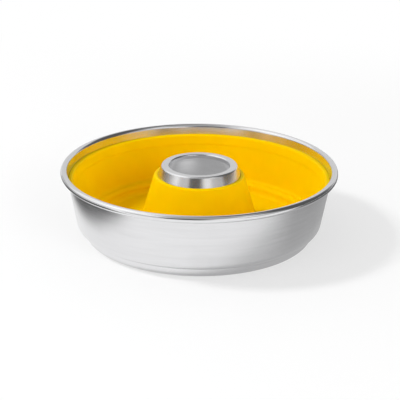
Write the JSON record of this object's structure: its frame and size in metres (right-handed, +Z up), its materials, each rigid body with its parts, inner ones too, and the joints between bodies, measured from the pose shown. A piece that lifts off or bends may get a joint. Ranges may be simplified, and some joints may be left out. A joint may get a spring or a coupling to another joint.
{
  "type": "ring cake tin with silicone liner",
  "caption": "Round aluminium ring cake tin with a rolled rim and a hollow centre cone, holding a loose yellow silicone liner that covers the trough.",
  "frame": {"origin": "centre of the flat base, on the surface that the tin stands on", "axes": "+Z up along the axis of the ring; the part is round, so +X and +Y are alike"},
  "size_m": [0.26, 0.26, 0.067],
  "materials": {
    "tin": "satin wall, polished rim and cone top",
    "liner": "matt silicone"
  },
  "bodies": {
    "root": {"cake_tin": "tin", "silicone_liner": "liner"}
  },
  "joints": []
}
